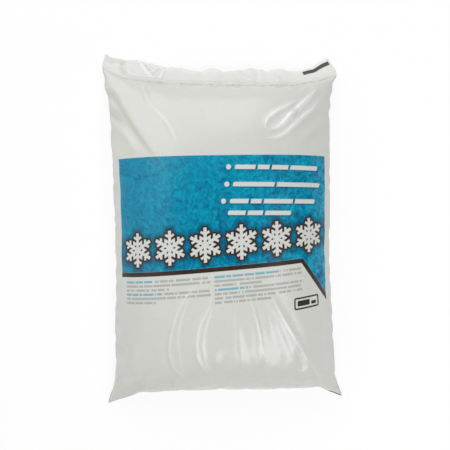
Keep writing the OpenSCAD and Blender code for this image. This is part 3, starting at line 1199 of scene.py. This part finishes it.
# Span and height of random waves: of the unsettled film, near its edges, of the salt and of the lower lumps
FILM_WAVES = (0.16, 0.0004)
EDGE_WAVES = (0.05, 0.0011)
HEAP_WAVES = (0.20, 0.0006)
LUMP_WAVES = (0.034, 0.0005)
LUMP_STRETCH = 0.5
LUMP_MIDDLE = -0.242
LUMP_REACH = 0.036


def film_points(size):
    """Points and grid of the finished film, and the crests pressed into it."""
    rng = np.random.default_rng(SEED)
    grid = FilmGrid(size, COARSE_COLUMNS, COARSE_ROWS)
    form = film_on_form(size, grid)
    normals = point_normals(form, grid.quads())
    across = abs(grid.flat[:, 0] / (size.layflat / 2))
    along = abs(grid.flat[:, 1] / (size.film_length / 2))
    near_edge = np.maximum(across ** EDGE_WAVE_POWER, along ** EDGE_WAVE_POWER)
    waves = wavy(rng, form, *FILM_WAVES) + near_edge * wavy(rng, form, *EDGE_WAVES)
    start = form + normals * waves[:, None]
    heap = form + normals * wavy(rng, form, *HEAP_WAVES)[:, None]
    end_slack = np.where(grid.flat[:, 1] > 0, TOP_SLACK, BOTTOM_SLACK)
    slack = np.c_[end_slack * along ** SLACK_POWER, SIDE_SLACK * across ** SLACK_POWER] + LEAST_SLACK
    points = settle(start, heap, grid, slack)
    points = evened(form, points, grid)
    points, grid = doubled(size, points, grid)
    normals = point_normals(points, grid.quads())
    front = grid.front[1:-1, 1:-1].ravel()
    plan = points[front, :2].copy()
    crests = {}
    for name, creases in (("crest_main", MAIN_CREASES), ("crest_twin", TWIN_CREASES)):
        rise, crest = pressed_creases(plan, creases)
        points[front] += normals[front] * rise[:, None]
        crests[name] = np.zeros_like(points)
        crests[name][front] = crest
    rise, _ = pressed_creases(plan, [(height, width, 0.0, line) for height, width, line in BROAD_FOLDS])
    stretched = np.c_[plan[:, 0], plan[:, 1] * LUMP_STRETCH, 0 * plan[:, 0]]
    rise += wavy(rng, stretched, *LUMP_WAVES) * np.exp(-((plan[:, 1] - LUMP_MIDDLE) / LUMP_REACH) ** 2)
    points[front] += normals[front] * rise[:, None]
    points[:, 2] = np.maximum(points[:, 2], 0)
    return points, grid, crests


def fold_with_flap(obj):
    """Bakes a piece's placement into its points."""
    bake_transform(obj)


class SALTSACK_OT_film(bpy.types.Operator):
    """Lays the printed film over the salt, lets it settle and presses the creases in"""
    bl_idname = "salt_sack.film"
    bl_label = "Sack film"

    def execute(self, context):
        size = sack_sizes()
        points, grid, crests = film_points(size)
        quads = grid.quads()
        film = mesh_object("sack_film", points, quads, film_material())
        write_crests(film, crests)
        sharpen(film.data, grid.front[-1])
        places = grid.flat[quads]
        places[len(quads) // 2:, :, 1] += BACK_SHIFT
        write_uv(film, places.reshape(-1, 2))
        fold_with_flap(film)
        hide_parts("sack_tube")
        return {"FINISHED"}


SALT_INSET = 0.006
SALT_SPAN = 0.93
SALT_COLUMNS = 60
SALT_ROWS = 84
SALT_DEEPEST = 0.4
SALT_WAVES = (0.02, 0.0004)


class SALTSACK_OT_salt(bpy.types.Operator):
    """Heaps the salt inside the film"""
    bl_idname = "salt_sack.salt"
    bl_label = "Salt"

    def execute(self, context):
        size = sack_sizes()
        rng = np.random.default_rng(SEED)
        grid = FilmGrid(size, SALT_COLUMNS, SALT_ROWS)
        across = grid.flat[:, 0] / (size.layflat / 2) * SALT_SPAN
        along = grid.flat[:, 1] / (size.film_length / 2) * SALT_SPAN
        points = np.zeros((len(grid.flat), 3))
        top = sack_form(size, across, along, True)
        under = sack_form(size, across, along, False)
        for indices, own, other in ((grid.back, under, top), (grid.front, top, under)):
            gap = other[indices] - own[indices]
            deep = np.linalg.norm(gap, axis=-1, keepdims=True)
            move = np.minimum(SALT_INSET, SALT_DEEPEST * deep)
            points[indices] = own[indices] + gap / np.maximum(deep, TINY) * move
        border = np.unique(np.concatenate([grid.front[[0, -1]].ravel(), grid.front[:, [0, -1]].ravel()]))
        points[border] = (top[border] + under[border]) / 2
        quads = grid.quads()
        points += point_normals(points, quads) * wavy(rng, points, *SALT_WAVES)[:, None]
        heap = mesh_object("salt_heap", points, quads, salt_material())
        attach(heap, "sack")
        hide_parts("salt_fill")
        return {"FINISHED"}


# Welds, made between two edge lines by one node tree

RIM_ANGLE = 0.7
PUCKER_SCALE = 70.0
MERGE_SPAN = 0.00001
# Name, kind and default of the node tree's inputs
SEAL_INPUTS = (
    ("Geometry", "Geometry", None), ("Inner edge", "Object", None), ("Outer edge", "Object", None),
    ("Steps along", "Int", 361), ("Steps across", "Int", 13), ("Ribs", "Float", 3.0),
    ("Rib height", "Float", 0.0001), ("Pucker height", "Float", 0.0004), ("Thickness", "Float", 0.0003),
    ("Material", "Material", None),
)


def seal_tree():
    """A band between two edge lines, ribbed along its length, with small puckers and a thickness."""
    name = "seal_band"
    if name in bpy.data.node_groups:
        return bpy.data.node_groups[name]
    tree = bpy.data.node_groups.new(name, "GeometryNodeTree")
    for label, kind, value in SEAL_INPUTS:
        socket = tree.interface.new_socket(label, in_out="INPUT", socket_type="NodeSocket" + kind)
        if value is not None:
            socket.default_value = value
    tree.interface.new_socket("Geometry", in_out="OUTPUT", socket_type="NodeSocketGeometry")
    source = tree.nodes.new("NodeGroupInput").outputs

    sheet = add_node(tree, "GeometryNodeMeshGrid", {
        "Size X": 1.0, "Size Y": 1.0,
        "Vertices X": source["Steps along"], "Vertices Y": source["Steps across"]})
    flat_x, flat_y, _ = parts(tree, tree.nodes.new("GeometryNodeInputPosition").outputs[0])
    along = flat_x + 0.5
    across = flat_y + 0.5
    edges = []
    for label in ("Inner edge", "Outer edge"):
        info = add_node(tree, "GeometryNodeObjectInfo", {"Object": source[label]}, transform_space="ORIGINAL")
        curve = add_node(tree, "GeometryNodeMeshToCurve", {"Mesh": info.outputs["Geometry"]})
        sample = add_node(tree, "GeometryNodeSampleCurve", {"Curves": curve.outputs[0], "Factor": along},
                          mode="FACTOR")
        edges.append(sample.outputs["Position"])
    store = add_node(tree, "GeometryNodeStoreNamedAttribute", {
        "Geometry": sheet.outputs["Mesh"], "Name": "seal_across", "Value": across},
        data_type="FLOAT", domain="POINT")
    laid = add_node(tree, "GeometryNodeSetPosition", {
        "Geometry": store.outputs[0], "Position": mixed(tree, *edges, across, "VECTOR")})
    named = add_node(tree, "GeometryNodeInputNamedAttribute", {"Name": "seal_across"}, data_type="FLOAT")
    kept = Field(tree, named.outputs["Attribute"])
    spot = tree.nodes.new("GeometryNodeInputPosition").outputs[0]
    turns = kept * Field(tree, source["Ribs"]) * (2 * math.pi)
    ribs = turns.math("COSINE") * Field(tree, source["Rib height"]) * -0.5
    held = kept * (kept * -1 + 1) * 4
    puckers = (noise(tree, spot, PUCKER_SCALE, 2.0) - 0.5) * Field(tree, source["Pucker height"]) * held
    rise = add_node(tree, "ShaderNodeVectorMath", {
        0: tree.nodes.new("GeometryNodeInputNormal").outputs[0], "Scale": ribs + puckers}, operation="SCALE")
    ribbed = add_node(tree, "GeometryNodeSetPosition", {
        "Geometry": laid.outputs[0], "Offset": rise.outputs[0]})
    thick = add_node(tree, "GeometryNodeExtrudeMesh", {
        "Mesh": ribbed.outputs[0], "Offset Scale": source["Thickness"], "Individual": False}, mode="FACES")
    turned = add_node(tree, "GeometryNodeFlipFaces", {"Mesh": ribbed.outputs[0]})
    joined = tree.nodes.new("GeometryNodeJoinGeometry")
    tree.links.new(thick.outputs["Mesh"], joined.inputs[0])
    tree.links.new(turned.outputs[0], joined.inputs[0])
    merged = add_node(tree, "GeometryNodeMergeByDistance", {
        "Geometry": joined.outputs[0], "Distance": MERGE_SPAN})
    smooth = add_node(tree, "GeometryNodeSetShadeSmooth", {"Geometry": merged.outputs[0]})
    bend = Field(tree, tree.nodes.new("GeometryNodeInputMeshEdgeAngle").outputs[0])
    rimmed = add_node(tree, "GeometryNodeSetShadeSmooth", {
        "Geometry": smooth.outputs[0], "Shade Smooth": bend.math("LESS_THAN", RIM_ANGLE)}, domain="EDGE")
    real = add_node(tree, "GeometryNodeRealizeInstances", {"Geometry": rimmed.outputs[0]})
    finished = add_node(tree, "GeometryNodeSetMaterial", {
        "Geometry": real.outputs[0], "Material": source["Material"]})
    add_node(tree, "NodeGroupOutput", {0: finished.outputs[0]})
    return tree


def edge_line(name, points):
    """A guide line of edges, for the node tree to follow."""
    mesh = bpy.data.meshes.new(name)
    mesh.from_pydata(points.tolist(), [(i, i + 1) for i in range(len(points) - 1)], [])
    return placed(name, mesh)


def seal_band(name, inner, outer, material):
    """A plain mesh of one weld, made by the node tree between two edge lines."""
    tree = seal_tree()
    guides = {
        "Inner edge": edge_line(name + "_inner", inner),
        "Outer edge": edge_line(name + "_outer", outer),
    }
    carrier = placed(name + "_carrier", bpy.data.meshes.new(name + "_carrier"))
    modifier = carrier.modifiers.new("seal", "NODES")
    modifier.node_group = tree
    wanted = {**guides, "Material": material}
    for socket in tree.interface.items_tree:
        if socket.in_out == "INPUT" and socket.name in wanted:
            modifier[socket.identifier] = wanted[socket.name]
    mesh = evaluated_mesh(carrier, name)
    for helper in (*guides.values(), carrier):
        bpy.data.objects.remove(helper)
    if not mesh.polygons:
        raise RuntimeError(f"the weld {name} came out empty")
    return placed(name, mesh)


def film_grid_points(size):
    """The finished film's points on its front and back grids."""
    mesh = bpy.data.objects["sack_film"].data
    points = np.zeros(len(mesh.vertices) * 3)
    mesh.vertices.foreach_get("co", points)
    points = points.reshape(-1, 3)
    grid = FilmGrid(size, COARSE_COLUMNS * 2, COARSE_ROWS * 2)
    return points[grid.front], points[grid.back]


def ply(name, rows, material, places, thickness, crests=None):
    """A thin ply of film from rows of points, with a UV map of its flat places."""
    steps, columns = rows.shape[:2]
    quads = grid_quads(np.arange(steps * columns).reshape(steps, columns))
    obj = mesh_object(name, rows.reshape(-1, 3), quads, material)
    write_uv(obj, places.reshape(-1, 2)[quads].reshape(-1, 2))
    write_crests(obj, crests or {})
    wall = obj.modifiers.new("film", "SOLIDIFY")
    wall.thickness = thickness
    wall.offset = 0.0
    mesh = evaluated_mesh(obj, name)
    obj.modifiers.clear()
    obj.data = mesh
    return obj


SKIRT_STEPS = 22
# Share across from left to right, and reach of the top cut edge past the weld as a share of the skirt
CUT_EDGE = (
    (-1.00, 0.64), (-0.95, 0.64), (-0.89, 0.84), (-0.83, 0.99), (-0.72, 1.06), (-0.62, 1.01), (-0.51, 0.88),
    (-0.41, 0.91), (-0.36, 0.94), (-0.30, 0.81), (-0.20, 0.61), (-0.06, 0.83), (0.08, 0.65), (0.25, 0.94),
    (0.31, 0.96), (0.41, 0.76), (0.53, 0.90), (0.62, 0.82), (0.69, 0.63), (0.73, 0.62), (0.81, 0.75),
    (0.93, 0.80), (1.00, 0.91),
)
CUT_SMOOTHING = 11
DRAWN_LEFT = 0.026
DRAWN_RIGHT = 0.069
DRAWN_POWER = 3
WELD_SINK = 0.0002
SKIRT_WAVES = (0.5, 0.0012)
SKIRT_RIPPLES = (0.16, 0.0004)
LIFT_POWER = 1.4
PLY_PARTING = 0.0022
PLY_OFFSET = 0.0001
HELD_SHARE = 0.25
SKIRT_FLOOR = 0.0008
SKIRT_FLOOR_STEP = 0.0006


def skirt_reach(across):
    """Reach of the top skirt past its weld, as a share of its cut length."""
    raw = np.interp(across, *np.array(CUT_EDGE).T)
    kernel = np.hanning(CUT_SMOOTHING)
    padded = np.pad(raw, CUT_SMOOTHING // 2, mode="edge")
    return np.convolve(padded, kernel / kernel.sum(), mode="valid")


class SALTSACK_OT_top_end(bpy.types.Operator):
    """Makes the top weld and the two plies of loose film past it"""
    bl_idname = "salt_sack.top_end"
    bl_label = "Top weld and skirt"

    def execute(self, context):
        size = sack_sizes()
        finish = film_finish()
        front, _ = film_grid_points(size)
        inner = front[-1]
        droop = top_droop(size)
        outward = np.array([0, math.cos(droop), -math.sin(droop)])
        upward = np.array([0, math.sin(droop), math.cos(droop)])
        outer = inner + outward * size.weld_width
        lowered = upward * WELD_SINK
        weld = seal_band("top_weld_band", inner - lowered, outer - lowered, weld_material())
        fold_with_flap(weld)
        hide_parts("top_weld")

        across = np.linspace(-1, 1, inner.shape[0])
        reach = skirt_reach(across) * size.top_skirt
        drawn = np.where(across < 0, DRAWN_LEFT, DRAWN_RIGHT) * abs(across) ** DRAWN_POWER
        part = np.linspace(0, 1, SKIRT_STEPS + 1)[:, None]
        run = part * reach
        edge = np.c_[across, 0 * across, 0 * across]
        places = np.stack([inner[:, 0] + 0 * run, run + size.weld_width], -1)
        rng = np.random.default_rng(SEED + 1)
        for side, sign in (("front", 1), ("back", -1)):
            wave = wavy(rng, edge, *SKIRT_WAVES)
            ripple = wavy(rng, edge, *SKIRT_RIPPLES)
            lift = part ** LIFT_POWER * (wave + ripple + sign * PLY_PARTING) + sign * PLY_OFFSET
            rows = outer + outward * run[..., None] + upward * lift[..., None]
            rows[..., 0] *= 1 - part * drawn
            rise, crest = pressed_creases(rows[..., :2].reshape(-1, 2), SKIRT_CREASES)
            held = np.minimum(1, part / HELD_SHARE)
            rows += upward * (rise.reshape(run.shape) * held)[..., None]
            rows[..., 2] = np.maximum(rows[..., 2], SKIRT_FLOOR + SKIRT_FLOOR_STEP * sign)
            material = loose_film_material("loose_film_" + side, finish.skirt_cover, side == "front")
            name = "top_skirt_" + side + "_ply"
            sheet = ply(name, rows, material, places, size.film_thickness, {"crest_main": crest})
            fold_with_flap(sheet)
            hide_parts("top_skirt_" + side, "top_flap_" + side)
        return {"FINISHED"}


TUCK_GAP = 0.0007
TUCK_PLY_GAP = 0.0004
TUCK_ROWS = 40
TUCK_STEPS = 10
TUCK_FLOOR = 0.0005


def under_film(back, normals, run, gap):
    """A line along the bottom end, at a length in from its weld and a gap under the back film."""
    near = back[:TUCK_ROWS]
    steps = np.linalg.norm(np.diff(near, axis=0), axis=2)
    lengths = np.concatenate([np.zeros((1, steps.shape[1])), np.cumsum(steps, axis=0)])
    line = np.zeros((back.shape[1], 3))
    for column in range(back.shape[1]):
        own = lengths[:, column]
        for axis in range(3):
            place = np.interp(run, own, near[:, column, axis])
            line[column, axis] = place + gap * np.interp(run, own, normals[:TUCK_ROWS, column, axis])
    return line


class SALTSACK_OT_bottom_end(bpy.types.Operator):
    """Makes the bottom weld and the two plies tucked under the sack"""
    bl_idname = "salt_sack.bottom_end"
    bl_label = "Bottom weld and skirt"

    def execute(self, context):
        size = sack_sizes()
        _, back = film_grid_points(size)
        normals = np.cross(np.gradient(back, axis=0), np.gradient(back, axis=1))
        normals /= np.maximum(np.linalg.norm(normals, axis=2, keepdims=True), TINY)
        inner = under_film(back, normals, 0.0, 0.0)
        outer = under_film(back, normals, size.weld_width, TUCK_GAP)
        weld = seal_band("bottom_weld_band", inner, outer, weld_material())
        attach(weld, "sack")
        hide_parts("bottom_weld")
        material = loose_film_material("tucked_film", 1.0, False)
        for side, gap in (("back", TUCK_GAP), ("front", TUCK_GAP + TUCK_PLY_GAP)):
            rows = []
            places = []
            for step in range(TUCK_STEPS + 1):
                run = size.weld_width + step / TUCK_STEPS * size.bottom_skirt
                row = under_film(back, normals, run, gap)
                row[:, 2] = np.maximum(row[:, 2], TUCK_FLOOR)
                rows.append(row)
                places.append(np.c_[inner[:, 0], np.full(len(inner), run)])
            name = "bottom_skirt_" + side + "_ply"
            sheet = ply(name, np.array(rows), material, np.array(places), size.film_thickness)
            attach(sheet, "sack")
            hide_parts("bottom_skirt_" + side)
        return {"FINISHED"}


# Floor, light and camera

CAMERA_PLACE = (0.0057, 0.0098, 2.062)
CAMERA_TURN = -1.04
CAMERA_LENS = 85.0
# Name, place, point faced, width, depth and power of each lamp
LAMPS = (
    ("north", (-0.8, 2.15, 1.9), (0, 0.05, 0.08), 4.4, 3.0, 60),
    ("south", (1.12, -1.25, 2.05), (0.03, -0.15, 0.1), 2.2, 1.4, 32),
)
FLOOR_HALF = 6.0
FLOOR_LEVEL = -0.0003
FLOOR_WHITE = (0.82, 0.82, 0.82)
FLOOR_GREY = (0.78, 0.78, 0.78)
FLOOR_SHOWN = (0.98, 0.98, 0.98)
FLOOR_GRAIN_SCALE = 40.0
FLOOR_ROUGHNESS = 0.9
FLOOR_GLOW = 1.015
FLOOR_GLOW_COVER = 0.86
HORIZON = 0.46
DOME = 0.56
CEILING = 0.08
WALL_TOP = 0.45
HOLE_EDGE = (0.70, 0.90)
LEAN = -1.0


def lamp(name, place, aim, width, depth, power):
    """A soft rectangular lamp that faces a point."""
    data = bpy.data.lights.new(name, "AREA")
    data.shape = "RECTANGLE"
    data.size = width
    data.size_y = depth
    data.energy = power
    obj = placed(name, data)
    obj.location = place
    obj.rotation_euler = (Vector(aim) - Vector(place)).to_track_quat("-Z", "Y").to_euler()


def rays(tree, *kinds):
    """1 for rays of the given kinds."""
    path = tree.nodes.new("ShaderNodeLightPath")
    found = Field(tree, path.outputs[kinds[0]])
    for kind in kinds[1:]:
        found = found.most(Field(tree, path.outputs[kind]))
    return found


def floor_material():
    """White studio floor that reads white to the camera and keeps a soft shadow."""
    material, tree, shader = new_material("studio_floor")
    white = mixed(tree, FLOOR_WHITE, FLOOR_GREY, noise(tree, object_place(tree), FLOOR_GRAIN_SCALE))
    feed_all(tree, shader, {
        "Base Color": mixed(tree, white, FLOOR_SHOWN, rays(tree, "Is Camera Ray")),
        "Roughness": FLOOR_ROUGHNESS, "Specular IOR Level": 0.0})
    glow = add_node(tree, "ShaderNodeEmission", {"Color": (1, 1, 1, 1), "Strength": FLOOR_GLOW})
    seen = rays(tree, "Is Camera Ray", "Is Glossy Ray", "Is Transmission Ray")
    mix = add_node(tree, "ShaderNodeMixShader", {
        "Fac": seen * FLOOR_GLOW_COVER, 1: shader.outputs[0], 2: glow.outputs[0]})
    tree.links.new(mix.outputs[0], tree.nodes["Material Output"].inputs["Surface"])
    return material


class SALTSACK_OT_stage(bpy.types.Operator):
    """Adds the floor, the lamps, the sky and the camera"""
    bl_idname = "salt_sack.stage"
    bl_label = "Stage"

    def execute(self, context):
        scene = context.scene
        corners = np.array([(x, y, FLOOR_LEVEL) for x, y in ((-1, -1), (1, -1), (1, 1), (-1, 1))], float)
        corners[:, :2] *= FLOOR_HALF
        floor = mesh_object("floor", corners, np.array([[0, 1, 2, 3]]), floor_material())

        world = bpy.data.worlds.new("studio")
        world.use_nodes = True
        scene.world = world
        tree = world.node_tree
        sky = tree.nodes["Background"]
        sky.inputs["Color"].default_value = (1.0, 1.0, 1.0, 1.0)
        right, _, up = parts(tree, tree.nodes.new("ShaderNodeTexCoord").outputs["Generated"])
        level = abs(up)
        hole = level.ramp(*HOLE_EDGE)
        lean = right.most(0) * LEAN + 1.0
        walls = (level / WALL_TOP).clamped() * (DOME - HORIZON) + HORIZON
        dome = walls * lean * (hole * -1 + 1) + hole * CEILING
        mirrored = rays(tree, "Is Glossy Ray", "Is Transmission Ray")
        backdrop = mirrored * ((level / WALL_TOP) * -1 + 1).clamped()
        shown = dome.most(backdrop).most(rays(tree, "Is Camera Ray"))
        feed(tree, sky.inputs["Strength"], shown)

        for settings in LAMPS:
            lamp(*settings)

        data = bpy.data.cameras.new("camera")
        data.lens = CAMERA_LENS
        camera = placed("camera", data)
        camera.location = CAMERA_PLACE
        camera.rotation_euler = (0, 0, math.radians(CAMERA_TURN))
        scene.camera = camera
        scene.view_settings.view_transform = "Standard"
        return {"FINISHED"}


OPERATORS = (
    SALTSACK_OT_film, SALTSACK_OT_salt, SALTSACK_OT_top_end, SALTSACK_OT_bottom_end, SALTSACK_OT_stage)


class SALTSACK_PT_panel(bpy.types.Panel):
    """Lists the sack's pieces, sizes and colours"""
    bl_idname = "SALTSACK_PT_panel"
    bl_label = "Salt sack"
    bl_space_type = "VIEW_3D"
    bl_region_type = "UI"
    bl_category = "Salt sack"

    def draw(self, context):
        for operator in OPERATORS:
            self.layout.operator(operator.bl_idname)
        for group in (context.scene.sack_sizes, context.scene.film_finish):
            for name in group.bl_rna.properties.keys():
                if name not in ("rna_type", "name"):
                    self.layout.prop(group, name)


CLASSES = (SackSizes, FilmFinish, *OPERATORS, SALTSACK_PT_panel)


def register():
    """Registers the classes and the scene's two groups of properties."""
    for item in CLASSES:
        bpy.utils.register_class(item)
    bpy.types.Scene.sack_sizes = bpy.props.PointerProperty(type=SackSizes)
    bpy.types.Scene.film_finish = bpy.props.PointerProperty(type=FilmFinish)


def unregister():
    """Takes the properties and the classes away again."""
    del bpy.types.Scene.film_finish
    del bpy.types.Scene.sack_sizes
    for item in reversed(CLASSES):
        bpy.utils.unregister_class(item)


def main():
    """Builds the pieces in order."""
    register()
    bpy.ops.salt_sack.film()
    bpy.ops.salt_sack.salt()
    bpy.ops.salt_sack.top_end()
    bpy.ops.salt_sack.bottom_end()
    bpy.ops.salt_sack.stage()


if __name__ == "__main__":
    main()
